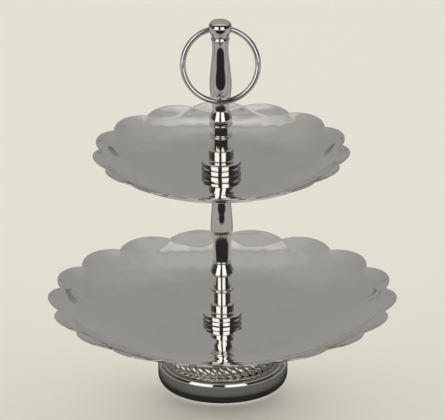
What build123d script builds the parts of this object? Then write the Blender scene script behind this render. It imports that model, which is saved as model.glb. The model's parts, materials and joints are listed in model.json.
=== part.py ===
"""Two-tier silver cake stand with a swinging carrying ring.

Everything is stacked on one tie rod: foot, lower plate, turned column,
upper plate, turned handle and finial.  Units are millimetres, +Z is up and
the origin is the centre of the foot on the table.
"""
from build123d import *
from math import asin, cos, degrees, radians, sin, sqrt
import os

os.makedirs("parts", exist_ok=True)

# ---- tie rod and the parts that clamp on it --------------------------------
ROD_RADIUS = 3.0            # M6 rod
BORE_GAP = 0.25             # free bore round the rod in every turned piece
NUT_FLATS = 10.0
NUT_HEIGHT = 5.0
WASHER_RADIUS = 14.0
WASHER_THICKNESS = 1.5
ROD_BELOW_NUT = 3.0
THREAD_DEPTH = 5.2          # rod inside the finial
BORE_END_GAP = 0.4          # left free above the end of the rod

# ---- foot ------------------------------------------------------------------
RIM_HEIGHT = 1.6
RIM_WIDTH = 2.8
FOOT_RADIUS = 52.0
FOOT_WALL = 1.5
FOOT_BELLY_LOW = 12.0       # the straight wall starts here
FOOT_BELLY_HIGH = 18.5      # and the shoulder starts here
SHELF_HEIGHT = 24.2
NECK_RADIUS = 29.0          # narrowest part of the cove above the shelf
DECK_RADIUS = 35.0          # the cove is as wide as this at both its ends
NECK_SEAT = 1.5             # width of shelf inside the neck's wall
FOOT_HEIGHT = 54.4

GADROON_RADIUS = 41.4       # centre of the roped border
GADROON_SECTION = 6.0
GADROON_LIFT = 4.8          # middle of the bar above the shelf: its foot is cut flat
GADROON_INSIDE = 5.1        # from the middle of the bar to its upright inner face
GADROON_LOBES = 44
GADROON_SLANT = 38.0        # degrees
GADROON_GROOVE = 1.1

# ---- plates ----------------------------------------------------------------
SHEET = 1.2
PAD_THICKNESS = 1.0         # between a support and the plate on it
PAD_INSET = 3.0             # a pad stops this far inside its support
GASKET_THICKNESS = 0.4      # between a plate and the collar on it
GASKET_INSET = 0.8

LOWER_TIP_RADIUS = 140.0    # 11 inch plate
LOWER_NOTCH_DEPTH = 7.5
LOWER_LOBES = 18
LOWER_TURN = 8.5            # angle of one notch, degrees
LOWER_BORDER = 59.5         # from the flat out to a notch
LOWER_RIM_HEIGHT = 18.8     # a notch above the flat
LOWER_TIP_HEIGHT = 20.3
LOWER_FLUTE_RADIUS = 115.0
LOWER_FLUTE_SLOPE = 28.0    # degrees, along the middle of a lobe

UPPER_TIP_RADIUS = 103.2    # 8 inch plate
UPPER_NOTCH_DEPTH = 5.6
UPPER_LOBES = 15
UPPER_TURN = 7.5
UPPER_BORDER = 45.6
UPPER_RIM_HEIGHT = 16.4
UPPER_TIP_HEIGHT = 17.7
UPPER_FLUTE_RADIUS = 95.0
UPPER_FLUTE_SLOPE = 30.0

# ---- turned column, each height counted from the piece below ---------------
LOWER_COLLAR_RADIUS = 15.9
LOWER_COLLAR_HEIGHT = 7.3
LOWER_DRUM_RADIUS = 9.6
LOWER_DRUM_HEIGHT = 7.6
LOWER_STEM_RADIUS = 6.8
LOWER_STEM_HEIGHT = 10.8
LOWER_RING_RADIUS = 10.0
LOWER_RING_HEIGHT = 3.0
LOWER_KNOP_STEM = 10.6
LOWER_KNOP_RADIUS = 10.2
LOWER_KNOP_HEIGHT = 23.4
LOWER_BEAD_HEIGHT = 4.2     # the bead under the knop's slope
LOWER_KNOP_WAIST = 6.6      # under the knop's top ring
TOP_RING_RADIUS = 7.5
TOP_RING_HEIGHT = 2.2
BALUSTER_HEIGHT = 60.0
BALUSTER_NECK = 6.8
BALUSTER_BELLY = 8.9
BALUSTER_TOP = 6.9
BELLY_RISE = 0.45           # height of the belly, as a share of the baluster
CAPITAL_HEIGHT = 15.4
CAPITAL_RADIUS = 17.0
CAPITAL_BEAD = 3.2          # height of the small collar under the cove
CAPITAL_FLANGE = 2.0

UPPER_COLLAR_RADIUS = 16.1
UPPER_COLLAR_HEIGHT = 9.1
UPPER_DRUM_RADIUS = 10.1
UPPER_DRUM_HEIGHT = 9.7
UPPER_STEM_RADIUS = 7.5
UPPER_STEM_HEIGHT = 9.6
UPPER_RING_RADIUS = 9.5
UPPER_RING_HEIGHT = 2.8
UPPER_KNOP_STEM = 7.3
UPPER_KNOP_RADIUS = 9.4
UPPER_KNOP_HEIGHT = 21.0
UPPER_LIP_HEIGHT = 2.2      # lip round the foot of the bell
UPPER_LIP_INSET = 0.8       # the bell starts this far inside the lip
UPPER_BELL_TOP = 6.5
GROOVE_DEPTH = 0.8          # turned line round both collars
STEP_ROUND = 0.6            # rounding of turned edges

HANDLE_HEIGHT = 58.8
HANDLE_NECK = 6.6
HANDLE_BELLY = 8.8
HANDLE_BELLY_RISE = 20.0
HANDLE_WAIST = 6.35
HANDLE_WAIST_DROP = 6.5     # below the top of the handle
HANDLE_TOP = 6.7

# ---- finial and carrying ring ----------------------------------------------
FINIAL_COLLAR_RADIUS = 7.5
FINIAL_COLLAR_HEIGHT = 3.5
FINIAL_NECK_RADIUS = 5.9
CAP_RADIUS = 9.4
CAP_FOOT_RADIUS = 7.0
CAP_BASE = 5.0              # where the cap starts, from the finial's foot
CAP_LOW = 8.6               # its upright side starts here
CAP_HIGH = 12.6             # and its domed top here
CAP_DOME_DROP = 0.9         # fall of the dome over two thirds of its radius
EYE_HEIGHT = 10.3           # centre of the cross hole, from the finial's foot
FINIAL_HEIGHT = 17.4
RING_RADIUS = 30.0          # middle of the wire
RING_WIRE = 2.25            # radius of the wire
EYE_GAP = 0.3               # between the wire and its eye, at the tightest
RING_REST_GAP = 0.3         # left between the hanging ring and the handle

# ---- heights of the stack --------------------------------------------------
bore_radius = ROD_RADIUS + BORE_GAP
foot_base_radius = FOOT_RADIUS - (FOOT_BELLY_LOW - RIM_HEIGHT)
cove_half = (FOOT_HEIGHT - SHELF_HEIGHT) / 2
cove_dip = DECK_RADIUS - NECK_RADIUS
cove_radius = (cove_half ** 2 + cove_dip ** 2) / (2 * cove_dip)
waist_z = SHELF_HEIGHT + cove_half
lower_plate_z = FOOT_HEIGHT + PAD_THICKNESS
lower_top = lower_plate_z + SHEET
lower_collar_z = lower_top + GASKET_THICKNESS
lower_plinth_z = lower_collar_z + LOWER_COLLAR_HEIGHT
lower_ring_z = lower_plinth_z + LOWER_DRUM_HEIGHT + LOWER_STEM_HEIGHT
lower_knop_z = lower_ring_z + LOWER_RING_HEIGHT
baluster_z = lower_knop_z + LOWER_KNOP_HEIGHT
capital_z = baluster_z + BALUSTER_HEIGHT
upper_pad_z = capital_z + CAPITAL_HEIGHT
upper_plate_z = upper_pad_z + PAD_THICKNESS
upper_top = upper_plate_z + SHEET
upper_collar_z = upper_top + GASKET_THICKNESS
upper_plinth_z = upper_collar_z + UPPER_COLLAR_HEIGHT
upper_ring_z = upper_plinth_z + UPPER_DRUM_HEIGHT + UPPER_STEM_HEIGHT
upper_knop_z = upper_ring_z + UPPER_RING_HEIGHT
handle_z = upper_knop_z + UPPER_KNOP_HEIGHT
finial_z = handle_z + HANDLE_HEIGHT
eye_z = finial_z + EYE_HEIGHT
deck_underside = FOOT_HEIGHT - FOOT_WALL
nut_z = deck_underside - WASHER_THICKNESS - NUT_HEIGHT
rod_bottom = nut_z - ROD_BELOW_NUT
rod_top = finial_z + THREAD_DEPTH


def finish(piece, name):
    """Label a finished piece and write it as its own node."""
    piece.part.label = name
    export_step(piece.part, f"parts/{name}.step")


def washer(outer, inner, z, thickness):
    """A flat ring lying at height z."""
    with BuildPart() as disc:
        with BuildSketch(Plane.XY.offset(z)):
            Circle(outer)
            Circle(inner, mode=Mode.SUBTRACT)
        extrude(amount=thickness)
    return disc


def collar(radius, z, height):
    """A low drum with rounded edges and one turned line round its middle."""
    with BuildPart() as drum:
        with BuildSketch(Plane.XY.offset(z)):
            Circle(radius)
        extrude(amount=height)
        fillet(drum.edges().filter_by(GeomType.CIRCLE), STEP_ROUND)
        with BuildSketch(Plane.XZ):
            with Locations((radius, z + height / 2)):
                Circle(GROOVE_DEPTH)
        revolve(axis=Axis.Z, mode=Mode.SUBTRACT)
        with BuildSketch(Plane.XY.offset(z)):
            Circle(bore_radius)
        extrude(amount=height, mode=Mode.SUBTRACT)
    return drum


def plinth(drum_radius, drum_height, stem_radius, stem_height, z):
    """A wide drum and a narrower stem in one piece, bored for the rod."""
    with BuildPart() as block:
        with BuildSketch(Plane.XY.offset(z)):
            Circle(drum_radius)
        extrude(amount=drum_height)
        fillet(block.edges().group_by(Axis.Z)[-1], STEP_ROUND)
        with BuildSketch(Plane.XY.offset(z + drum_height)):
            Circle(stem_radius)
        extrude(amount=stem_height)
        with BuildSketch(Plane.XY.offset(z)):
            Circle(bore_radius)
        extrude(amount=drum_height + stem_height, mode=Mode.SUBTRACT)
    return block


def stack_ring(radius, z, height):
    """A thin round-edged ring between two turned pieces."""
    with BuildPart() as bead:
        with BuildSketch(Plane.XZ):
            with BuildLine():
                flank = radius - height / 2
                Line((bore_radius, z), (flank, z))
                ThreePointArc((flank, z), (radius, z + height / 2), (flank, z + height))
                Line((flank, z + height), (bore_radius, z + height))
                Line((bore_radius, z + height), (bore_radius, z))
            make_face()
        revolve(axis=Axis.Z)
    return bead


def dish_section(flat_radius, rim_radius, rim_height, reach, z, lift, ceiling):
    """Everything above a dish's surface, out to a given reach.

    The surface is flat to flat_radius and then an arc that starts level and
    passes through the rim.  lift raises it along its own normal.
    """
    run = rim_radius - flat_radius
    bend = (run ** 2 + rim_height ** 2) / (2 * rim_height)
    inside = bend - lift
    turn = asin((reach - flat_radius) / inside)
    middle = turn / 2
    with BuildSketch(Plane.XZ) as section:
        with BuildLine():
            start = (flat_radius, z + lift)
            centre_z = z + bend
            mid = (flat_radius + inside * sin(middle), centre_z - inside * cos(middle))
            end = (flat_radius + inside * sin(turn), centre_z - inside * cos(turn))
            Line((0, z + lift), start)
            ThreePointArc(start, mid, end)
            Polyline(end, (end[0], ceiling), (0, ceiling), (0, z + lift))
        make_face()
    return section.sketch


def lobe_sector(tip_radius, notch_depth, lobes, border, rim_height, tip_height,
                flute_radius, flute_slope, z):
    """One lobe of a fluted plate: a wedge of dish with a hollow at its rim."""
    notch_radius = tip_radius - notch_depth
    flat_radius = notch_radius - border
    reach = tip_radius + 1
    ceiling = z + SHEET + 3 * tip_height
    half = 180 / lobes
    below = dish_section(flat_radius, notch_radius, rim_height, reach, z, 0, ceiling)
    above = dish_section(flat_radius, notch_radius, rim_height, reach, z, SHEET, ceiling)
    slope = radians(flute_slope)
    ball_r = tip_radius - flute_radius * sin(slope)
    ball_z = z + SHEET + tip_height + flute_radius * cos(slope)
    with BuildPart() as wedge:
        add(below)
        revolve(axis=Axis.Z)
        with Locations((ball_r, 0, ball_z)):
            Sphere(flute_radius + SHEET)
        add(above)
        revolve(axis=Axis.Z, mode=Mode.SUBTRACT)
        with Locations((ball_r, 0, ball_z)):
            Sphere(flute_radius, mode=Mode.SUBTRACT)
        with BuildSketch(Plane.XY.offset(z - tip_height)):
            with BuildLine():
                first = Vector(notch_radius, 0).rotate(Axis.Z, -half)
                last = Vector(notch_radius, 0).rotate(Axis.Z, half)
                Line((0, 0), first)
                ThreePointArc(first, (tip_radius, 0), last)
                Line(last, (0, 0))
            make_face()
        extrude(amount=3 * tip_height, mode=Mode.INTERSECT)
    return wedge.part


# ---- foot ------------------------------------------------------------------
with BuildPart() as foot_rim:
    with BuildSketch():
        Circle(foot_base_radius)
        Circle(foot_base_radius - RIM_WIDTH, mode=Mode.SUBTRACT)
    extrude(amount=RIM_HEIGHT)
    top_outer = foot_rim.edges().group_by(Axis.Z)[-1].sort_by(SortBy.RADIUS)[-1]
    fillet(top_outer, RIM_HEIGHT / 3)
finish(foot_rim, "foot_rim")


def bowl_section(wall):
    """The lower foot's outline moved inwards by a wall: bun-shaped, flat on top."""
    belly = FOOT_RADIUS - wall
    floor = RIM_HEIGHT + wall
    shelf = SHELF_HEIGHT - wall
    low = (belly, FOOT_BELLY_LOW)
    high = (belly, FOOT_BELLY_HIGH)
    sole = (belly - (FOOT_BELLY_LOW - floor), floor)
    shoulder = (belly - (shelf - FOOT_BELLY_HIGH), shelf)
    with BuildSketch(Plane.XZ) as section:
        with BuildLine():
            TangentArc(low, sole, tangent=(0, -1))
            Line(low, high)
            TangentArc(high, shoulder, tangent=(0, 1))
            Polyline(shoulder, (0, shelf), (0, floor), sole)
        make_face()
    return section.sketch


def neck_section(wall):
    """The neck's outline moved inwards by a wall: a cove from the shelf to the deck."""
    deck = FOOT_HEIGHT - wall
    cove = cove_radius + wall

    def cove_point(z):
        return NECK_RADIUS + cove_radius - sqrt(cove ** 2 - (z - waist_z) ** 2), z

    with BuildSketch(Plane.XZ) as section:
        with BuildLine():
            foot = cove_point(SHELF_HEIGHT)
            ThreePointArc(foot, cove_point(waist_z), cove_point(deck))
            Polyline(cove_point(deck), (0, deck), (0, SHELF_HEIGHT), foot)
        make_face()
    return section.sketch


with BuildPart() as foot_shell:
    add(bowl_section(0))
    revolve(axis=Axis.Z)
    add(bowl_section(FOOT_WALL))
    revolve(axis=Axis.Z, mode=Mode.SUBTRACT)
    with BuildSketch(Plane.XY.offset(RIM_HEIGHT)):
        Circle(foot_base_radius - FOOT_WALL)
    extrude(amount=FOOT_WALL, mode=Mode.SUBTRACT)
    with BuildSketch(Plane.XY.offset(SHELF_HEIGHT - FOOT_WALL)):
        Circle(DECK_RADIUS - FOOT_WALL - NECK_SEAT)
    extrude(amount=FOOT_WALL, mode=Mode.SUBTRACT)
finish(foot_shell, "foot_shell")

with BuildPart() as foot_neck:
    add(neck_section(0))
    revolve(axis=Axis.Z)
    add(neck_section(FOOT_WALL))
    revolve(axis=Axis.Z, mode=Mode.SUBTRACT)
    with BuildSketch(Plane.XY.offset(deck_underside)):
        Circle(bore_radius)
    extrude(amount=FOOT_WALL, mode=Mode.SUBTRACT)
finish(foot_neck, "foot_neck")

# Roped border round the foot, seated on the shelf: a bar bent into a ring,
# flat underneath, with slanting grooves cut across it.
with BuildPart() as gadroon_border:
    with BuildSketch(Plane.XZ) as bar:
        bar_z = SHELF_HEIGHT + GADROON_LIFT
        with Locations((GADROON_RADIUS, bar_z)):
            Circle(GADROON_SECTION)
        with Locations((GADROON_RADIUS, SHELF_HEIGHT - GADROON_SECTION / 2)):
            Rectangle(3 * GADROON_SECTION, GADROON_SECTION, mode=Mode.SUBTRACT)
        inner_face = GADROON_RADIUS - GADROON_INSIDE
        with Locations((inner_face - GADROON_SECTION, SHELF_HEIGHT + GADROON_SECTION)):
            Rectangle(2 * GADROON_SECTION, 3 * GADROON_SECTION, mode=Mode.SUBTRACT)
    revolve(axis=Axis.Z)
    crest = bar_z + GADROON_SECTION + GADROON_GROOVE / 5
    for turn in range(GADROON_LOBES):
        spot = Location((0, 0, 0), (0, 0, turn * 360 / GADROON_LOBES))
        spot = spot * Location((GADROON_RADIUS, 0, crest), (0, 90, 0))
        spot = spot * Location((0, 0, 0), (GADROON_SLANT, 0, 0))
        with Locations(spot):
            Cylinder(GADROON_GROOVE, 3 * GADROON_SECTION, mode=Mode.SUBTRACT)
finish(gadroon_border, "gadroon_border")

base_washer = washer(WASHER_RADIUS, bore_radius, deck_underside - WASHER_THICKNESS, WASHER_THICKNESS)
finish(base_washer, "base_washer")

with BuildPart() as base_nut:
    with BuildSketch(Plane.XY.offset(nut_z)):
        RegularPolygon(NUT_FLATS / 2, 6, major_radius=False)
        Circle(ROD_RADIUS, mode=Mode.SUBTRACT)
    extrude(amount=NUT_HEIGHT)
finish(base_nut, "base_nut")

with BuildPart() as tie_rod:
    with BuildSketch(Plane.XY.offset(rod_bottom)):
        Circle(ROD_RADIUS)
    extrude(amount=rod_top - rod_bottom)
    chamfer(tie_rod.edges().filter_by(GeomType.CIRCLE), ROD_RADIUS / 6)
finish(tie_rod, "tie_rod")

# ---- lower tier ------------------------------------------------------------
lower_plate_pad = washer(DECK_RADIUS - PAD_INSET, bore_radius, FOOT_HEIGHT, PAD_THICKNESS)
finish(lower_plate_pad, "lower_plate_pad")

lower_lobe = lobe_sector(LOWER_TIP_RADIUS, LOWER_NOTCH_DEPTH, LOWER_LOBES, LOWER_BORDER,
                         LOWER_RIM_HEIGHT, LOWER_TIP_HEIGHT, LOWER_FLUTE_RADIUS,
                         LOWER_FLUTE_SLOPE, lower_plate_z)
with BuildPart() as lower_plate:
    with PolarLocations(0, LOWER_LOBES, start_angle=LOWER_TURN + 180 / LOWER_LOBES):
        add(lower_lobe)
    with BuildSketch(Plane.XY.offset(lower_plate_z)):
        Circle(bore_radius)
    extrude(amount=SHEET, mode=Mode.SUBTRACT)
finish(lower_plate, "lower_plate")

lower_gasket = washer(LOWER_COLLAR_RADIUS - GASKET_INSET, bore_radius, lower_top, GASKET_THICKNESS)
finish(lower_gasket, "lower_gasket")

lower_collar = collar(LOWER_COLLAR_RADIUS, lower_collar_z, LOWER_COLLAR_HEIGHT)
finish(lower_collar, "lower_collar")

lower_plinth = plinth(LOWER_DRUM_RADIUS, LOWER_DRUM_HEIGHT, LOWER_STEM_RADIUS,
                      LOWER_STEM_HEIGHT, lower_plinth_z)
finish(lower_plinth, "lower_plinth")

lower_ring = stack_ring(LOWER_RING_RADIUS, lower_ring_z, LOWER_RING_HEIGHT)
finish(lower_ring, "lower_ring")

# Stem, bead with a sloping top and a thin ring above it.
with BuildPart() as lower_knop:
    with BuildSketch(Plane.XZ):
        with BuildLine():
            bead_z = lower_knop_z + LOWER_KNOP_STEM
            knop_top = lower_knop_z + LOWER_KNOP_HEIGHT
            stem_end = (LOWER_STEM_RADIUS, bead_z)
            ledge = ((LOWER_STEM_RADIUS + LOWER_KNOP_RADIUS) / 2 - STEP_ROUND, bead_z)
            bead_side = (LOWER_KNOP_RADIUS, bead_z + LOWER_BEAD_HEIGHT / 2)
            bead_top = (LOWER_KNOP_RADIUS - STEP_ROUND, bead_z + LOWER_BEAD_HEIGHT)
            slope = ((LOWER_KNOP_RADIUS + LOWER_KNOP_WAIST) / 2 - STEP_ROUND,
                     bead_z + 2 * LOWER_BEAD_HEIGHT)
            waist = (LOWER_KNOP_WAIST, knop_top - TOP_RING_HEIGHT)
            ring_side = (TOP_RING_RADIUS, knop_top - TOP_RING_HEIGHT / 2)
            Polyline((bore_radius, lower_knop_z), (LOWER_STEM_RADIUS, lower_knop_z), stem_end, ledge)
            ThreePointArc(ledge, bead_side, bead_top)
            Spline(bead_top, slope, waist)
            ThreePointArc(waist, ring_side, (LOWER_KNOP_WAIST, knop_top))
            Polyline((LOWER_KNOP_WAIST, knop_top), (bore_radius, knop_top),
                     (bore_radius, lower_knop_z))
        make_face()
    revolve(axis=Axis.Z)
finish(lower_knop, "lower_knop")

with BuildPart() as lower_baluster:
    with BuildSketch(Plane.XZ):
        with BuildLine():
            baluster_top = baluster_z + BALUSTER_HEIGHT
            belly_z = baluster_z + BELLY_RISE * BALUSTER_HEIGHT
            Spline((BALUSTER_NECK, baluster_z), (BALUSTER_BELLY, belly_z),
                   (BALUSTER_TOP, baluster_top), tangents=((0.05, 1), (-0.02, 1)))
            Polyline((BALUSTER_TOP, baluster_top), (bore_radius, baluster_top),
                     (bore_radius, baluster_z), (BALUSTER_NECK, baluster_z))
        make_face()
    revolve(axis=Axis.Z)
finish(lower_baluster, "lower_baluster")

# Small collar, cove and flat flange that carry the upper plate.
with BuildPart() as capital:
    with BuildSketch(Plane.XZ):
        with BuildLine():
            flange_z = upper_pad_z - CAPITAL_FLANGE
            flange_edge = CAPITAL_RADIUS - CAPITAL_FLANGE / 2
            bead_foot = (BALUSTER_TOP + GROOVE_DEPTH / 2, capital_z)
            bead_side = (bead_foot[0] + CAPITAL_BEAD / 2, capital_z + CAPITAL_BEAD / 2)
            bead_top = (bead_foot[0], capital_z + CAPITAL_BEAD)
            cove = (bead_foot[0] + CAPITAL_FLANGE, flange_z - 2 * CAPITAL_FLANGE)
            Line((bore_radius, capital_z), bead_foot)
            ThreePointArc(bead_foot, bead_side, bead_top)
            Spline(bead_top, cove, (flange_edge, flange_z), tangents=((0.1, 1), (1, 0.2)))
            ThreePointArc((flange_edge, flange_z), (CAPITAL_RADIUS, flange_z + CAPITAL_FLANGE / 2),
                          (flange_edge, upper_pad_z))
            Polyline((flange_edge, upper_pad_z), (bore_radius, upper_pad_z),
                     (bore_radius, capital_z))
        make_face()
    revolve(axis=Axis.Z)
finish(capital, "capital")

# ---- upper tier ------------------------------------------------------------
upper_plate_pad = washer(CAPITAL_RADIUS - PAD_INSET, bore_radius, upper_pad_z, PAD_THICKNESS)
finish(upper_plate_pad, "upper_plate_pad")

upper_lobe = lobe_sector(UPPER_TIP_RADIUS, UPPER_NOTCH_DEPTH, UPPER_LOBES, UPPER_BORDER,
                         UPPER_RIM_HEIGHT, UPPER_TIP_HEIGHT, UPPER_FLUTE_RADIUS,
                         UPPER_FLUTE_SLOPE, upper_plate_z)
with BuildPart() as upper_plate:
    with PolarLocations(0, UPPER_LOBES, start_angle=UPPER_TURN + 180 / UPPER_LOBES):
        add(upper_lobe)
    with BuildSketch(Plane.XY.offset(upper_plate_z)):
        Circle(bore_radius)
    extrude(amount=SHEET, mode=Mode.SUBTRACT)
finish(upper_plate, "upper_plate")

upper_gasket = washer(UPPER_COLLAR_RADIUS - GASKET_INSET, bore_radius, upper_top, GASKET_THICKNESS)
finish(upper_gasket, "upper_gasket")

upper_collar = collar(UPPER_COLLAR_RADIUS, upper_collar_z, UPPER_COLLAR_HEIGHT)
finish(upper_collar, "upper_collar")

upper_plinth = plinth(UPPER_DRUM_RADIUS, UPPER_DRUM_HEIGHT, UPPER_STEM_RADIUS,
                      UPPER_STEM_HEIGHT, upper_plinth_z)
finish(upper_plinth, "upper_plinth")

upper_ring = stack_ring(UPPER_RING_RADIUS, upper_ring_z, UPPER_RING_HEIGHT)
finish(upper_ring, "upper_ring")

# Stem, bell-shaped knop with a lip and the neck under the handle.
with BuildPart() as upper_knop:
    with BuildSketch(Plane.XZ):
        with BuildLine():
            lip_z = upper_knop_z + UPPER_KNOP_STEM
            knop_top = upper_knop_z + UPPER_KNOP_HEIGHT
            lip_in = UPPER_KNOP_RADIUS - UPPER_LIP_INSET
            lip_top = (lip_in, lip_z + UPPER_LIP_HEIGHT)
            bell_side = (lip_in + UPPER_LIP_INSET / 2, (lip_z + knop_top) / 2)
            bell_top = (UPPER_BELL_TOP, knop_top)
            Polyline((bore_radius, upper_knop_z), (UPPER_STEM_RADIUS, upper_knop_z),
                     (UPPER_STEM_RADIUS, lip_z), (lip_in, lip_z))
            ThreePointArc((lip_in, lip_z), (UPPER_KNOP_RADIUS, lip_z + UPPER_LIP_HEIGHT / 2), lip_top)
            Spline(lip_top, bell_side, bell_top, tangents=((0.1, 1), (-0.8, 1)))
            Polyline(bell_top, (bore_radius, knop_top), (bore_radius, upper_knop_z))
        make_face()
    revolve(axis=Axis.Z)
finish(upper_knop, "upper_knop")

with BuildPart() as handle_baluster:
    with BuildSketch(Plane.XZ):
        with BuildLine():
            handle_top = handle_z + HANDLE_HEIGHT
            Spline((HANDLE_NECK, handle_z), (HANDLE_BELLY, handle_z + HANDLE_BELLY_RISE),
                   (HANDLE_WAIST, handle_top - HANDLE_WAIST_DROP), (HANDLE_TOP, handle_top),
                   tangents=((0.05, 1), (0.08, 1)))
            Polyline((HANDLE_TOP, handle_top), (bore_radius, handle_top),
                     (bore_radius, handle_z), (HANDLE_NECK, handle_z))
        make_face()
    revolve(axis=Axis.Z)
finish(handle_baluster, "handle_baluster")

# ---- finial and carrying ring ----------------------------------------------
# The wire's middle line is an arc, so it dips across the width of the cap.
# The eye is centred on the middle of that dip and clears the slanting wire.
wire_dip = RING_RADIUS - sqrt(RING_RADIUS ** 2 - CAP_RADIUS ** 2)
wire_slant = asin(CAP_RADIUS / RING_RADIUS)
eye_radius = wire_dip / 2 + RING_WIRE / cos(wire_slant) + EYE_GAP

with BuildPart() as finial:
    with BuildSketch(Plane.XZ):
        with BuildLine():
            collar_top = finial_z + FINIAL_COLLAR_HEIGHT
            cap_z = finial_z + CAP_BASE
            cap_side = (CAP_RADIUS, finial_z + CAP_HIGH)
            finial_top = finial_z + FINIAL_HEIGHT
            collar_edge = FINIAL_COLLAR_RADIUS - STEP_ROUND
            Line((0, finial_z), (collar_edge, finial_z))
            ThreePointArc((collar_edge, finial_z),
                          (FINIAL_COLLAR_RADIUS, finial_z + FINIAL_COLLAR_HEIGHT / 2),
                          (collar_edge, collar_top))
            Polyline((collar_edge, collar_top), (FINIAL_NECK_RADIUS, collar_top),
                     (FINIAL_NECK_RADIUS, cap_z), (CAP_FOOT_RADIUS, cap_z),
                     (CAP_RADIUS, finial_z + CAP_LOW), cap_side)
            Spline(cap_side, (2 * CAP_RADIUS / 3, finial_top - CAP_DOME_DROP), (0, finial_top),
                   tangents=((0, 1), (-1, 0)))
            Line((0, finial_top), (0, finial_z))
        make_face()
    revolve(axis=Axis.Z)
    cap_rims = finial.edges().filter_by(GeomType.CIRCLE).group_by(SortBy.RADIUS)[-1]
    fillet(cap_rims.sort_by(Axis.Z)[0], STEP_ROUND)
    with BuildSketch(Plane.XY.offset(finial_z)):
        Circle(ROD_RADIUS)
    extrude(amount=THREAD_DEPTH + BORE_END_GAP, mode=Mode.SUBTRACT)
    with BuildSketch(Plane.YZ):
        with Locations((0, eye_z)):
            Circle(eye_radius)
    extrude(amount=2 * CAP_RADIUS, both=True, mode=Mode.SUBTRACT)
finish(finial, "finial")

# The ring hangs from the eye and leans on the front of the handle.
hang = RING_RADIUS - wire_dip / 2
reach_down = hang + RING_RADIUS
lean = asin((HANDLE_BELLY + RING_WIRE + RING_REST_GAP) / reach_down)
ring_centre = Vector(0, -hang * sin(lean), eye_z - hang * cos(lean))
across = (0, cos(lean), -sin(lean))
wire_section = Plane(origin=ring_centre, x_dir=(1, 0, 0), z_dir=(0, sin(lean), cos(lean)))
with BuildPart() as lifting_ring:
    with BuildSketch(wire_section):
        with Locations((RING_RADIUS, 0)):
            Circle(RING_WIRE)
    revolve(axis=Axis(ring_centre, across))
finish(lifting_ring, "lifting_ring")

print(f"height {finial_z + FINIAL_HEIGHT:.1f}, eye at {eye_z:.2f}, eye radius {eye_radius:.2f}")
print(f"ring leans {degrees(lean):.2f} degrees on the handle")
print(f"plate tops {lower_top:.1f} and {upper_top:.1f}, handle {handle_z:.1f}, finial {finial_z:.1f}")
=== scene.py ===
# %% [markdown]
# # A two-tier silver cake stand
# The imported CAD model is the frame: it says where every piece is and how the
# carrying ring swings. This lesson gives each visible piece a smooth skin that
# can hold a mirror finish, then lights it like a product in a small studio.

# %% Load the frame
import json
import math

import bmesh
import bpy
from mathutils import Matrix, Vector


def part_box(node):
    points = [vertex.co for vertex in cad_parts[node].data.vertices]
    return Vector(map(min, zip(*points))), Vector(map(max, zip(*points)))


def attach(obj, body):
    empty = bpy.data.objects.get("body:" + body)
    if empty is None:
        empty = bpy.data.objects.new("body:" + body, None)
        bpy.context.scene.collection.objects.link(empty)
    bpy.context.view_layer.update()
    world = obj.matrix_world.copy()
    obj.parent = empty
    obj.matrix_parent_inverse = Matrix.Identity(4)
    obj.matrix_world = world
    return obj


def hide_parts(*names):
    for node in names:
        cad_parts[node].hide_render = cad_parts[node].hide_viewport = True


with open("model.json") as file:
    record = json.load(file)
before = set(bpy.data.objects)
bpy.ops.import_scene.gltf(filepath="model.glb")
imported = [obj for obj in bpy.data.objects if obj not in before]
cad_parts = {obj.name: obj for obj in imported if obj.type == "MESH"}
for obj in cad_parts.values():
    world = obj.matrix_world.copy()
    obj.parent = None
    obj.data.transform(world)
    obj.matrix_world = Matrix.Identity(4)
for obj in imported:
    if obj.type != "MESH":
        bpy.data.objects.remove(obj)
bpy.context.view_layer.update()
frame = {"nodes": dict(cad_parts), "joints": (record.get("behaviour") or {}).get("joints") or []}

MM = 0.001
TURN = 2 * math.pi
scene = bpy.context.scene

# %% [markdown]
# ## Node sums written as Python
# Shader trees and geometry trees share the same Math nodes. One small class
# wraps a socket, and each operator adds the node that works it out, so a rule
# such as a scalloped edge reads like the formula that it is.

# %% The socket class
class Sum:
    """A value socket in a node tree that takes part in Python arithmetic."""

    def __init__(self, tree, socket):
        self.tree, self.socket = tree, socket

    def op(self, kind, *others, clamp=False):
        node = self.tree.nodes.new("ShaderNodeMath")
        node.operation, node.use_clamp = kind, clamp
        for place, value in zip(node.inputs, (self, *others)):
            feed(self.tree, value, place)
        return Sum(self.tree, node.outputs[0])

    def __add__(self, other): return self.op("ADD", other)
    def __sub__(self, other): return self.op("SUBTRACT", other)
    def __mul__(self, other): return self.op("MULTIPLY", other)
    def __truediv__(self, other): return self.op("DIVIDE", other)
    def __pow__(self, other): return self.op("POWER", other)
    def __neg__(self): return self.op("MULTIPLY", -1.0)
    def __radd__(self, other): return self.op("ADD", other)
    def __rmul__(self, other): return self.op("MULTIPLY", other)
    def __rsub__(self, other): return number(self.tree, other) - self
    def __rtruediv__(self, other): return number(self.tree, other) / self
    def sin(self): return self.op("SINE")
    def cos(self): return self.op("COSINE")
    def sqrt(self): return self.op("SQRT")
    def abs(self): return self.op("ABSOLUTE")
    def floor(self): return self.op("FLOOR")
    def atan2(self, other): return self.op("ARCTAN2", other)
    def above(self, limit): return self.op("GREATER_THAN", limit)
    def at_least(self, limit): return self.op("MAXIMUM", limit)
    def at_most(self, limit): return self.op("MINIMUM", limit)
    def smooth_min(self, other, width): return self.op("SMOOTH_MIN", other, width)
    def clamp(self): return self.op("ADD", 0.0, clamp=True)

    def step(self, low, high):
        """0 below low, 1 above high and a smooth rise between them."""
        t = ((self - low) / (high - low)).clamp()
        return t * t * (3.0 - 2.0 * t)


def feed(tree, value, place):
    """Link or set one input."""
    if isinstance(value, Sum):
        tree.links.new(value.socket, place)
    elif isinstance(value, bpy.types.NodeSocket):
        tree.links.new(value, place)
    else:
        place.default_value = value


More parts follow.
